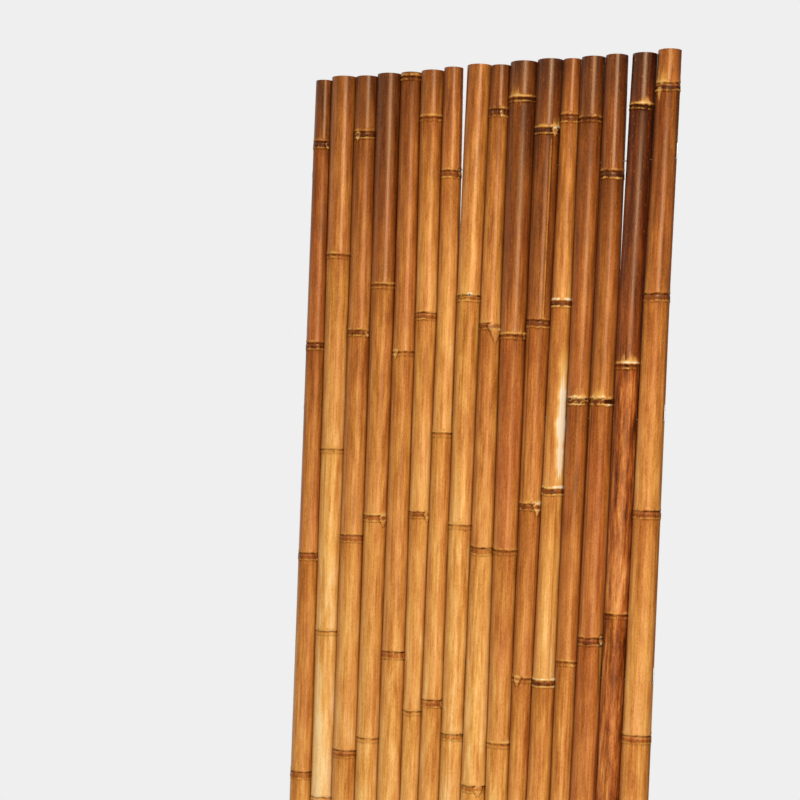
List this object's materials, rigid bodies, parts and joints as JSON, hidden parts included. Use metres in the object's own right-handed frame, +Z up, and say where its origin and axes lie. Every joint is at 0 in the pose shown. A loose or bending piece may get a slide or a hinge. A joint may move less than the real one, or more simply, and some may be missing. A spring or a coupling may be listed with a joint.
{
  "type": "bamboo roll fence",
  "caption": "Upright fence panel of whole bamboo canes set side by side and threaded on galvanised wires through drilled holes.",
  "frame": {"origin": "middle of the fence's foot, on the ground", "axes": "+Z up along the canes, +X along the wires, the front faces -Y"},
  "size_m": [0.402, 0.0286, 0.914],
  "materials": {
    "bamboo": "satin",
    "wire": "satin"
  },
  "bodies": {
    "root": {"cane_01": "bamboo", "cane_02": "bamboo", "cane_03": "bamboo", "cane_04": "bamboo", "cane_05": "bamboo", "cane_06": "bamboo", "cane_07": "bamboo", "cane_08": "bamboo", "cane_09": "bamboo", "cane_10": "bamboo", "cane_11": "bamboo", "cane_12": "bamboo", "cane_13": "bamboo", "cane_14": "bamboo", "cane_15": "bamboo", "cane_16": "bamboo", "wire_1": "wire", "wire_2": "wire", "wire_3": "wire", "wire_4": "wire"}
  },
  "joints": []
}
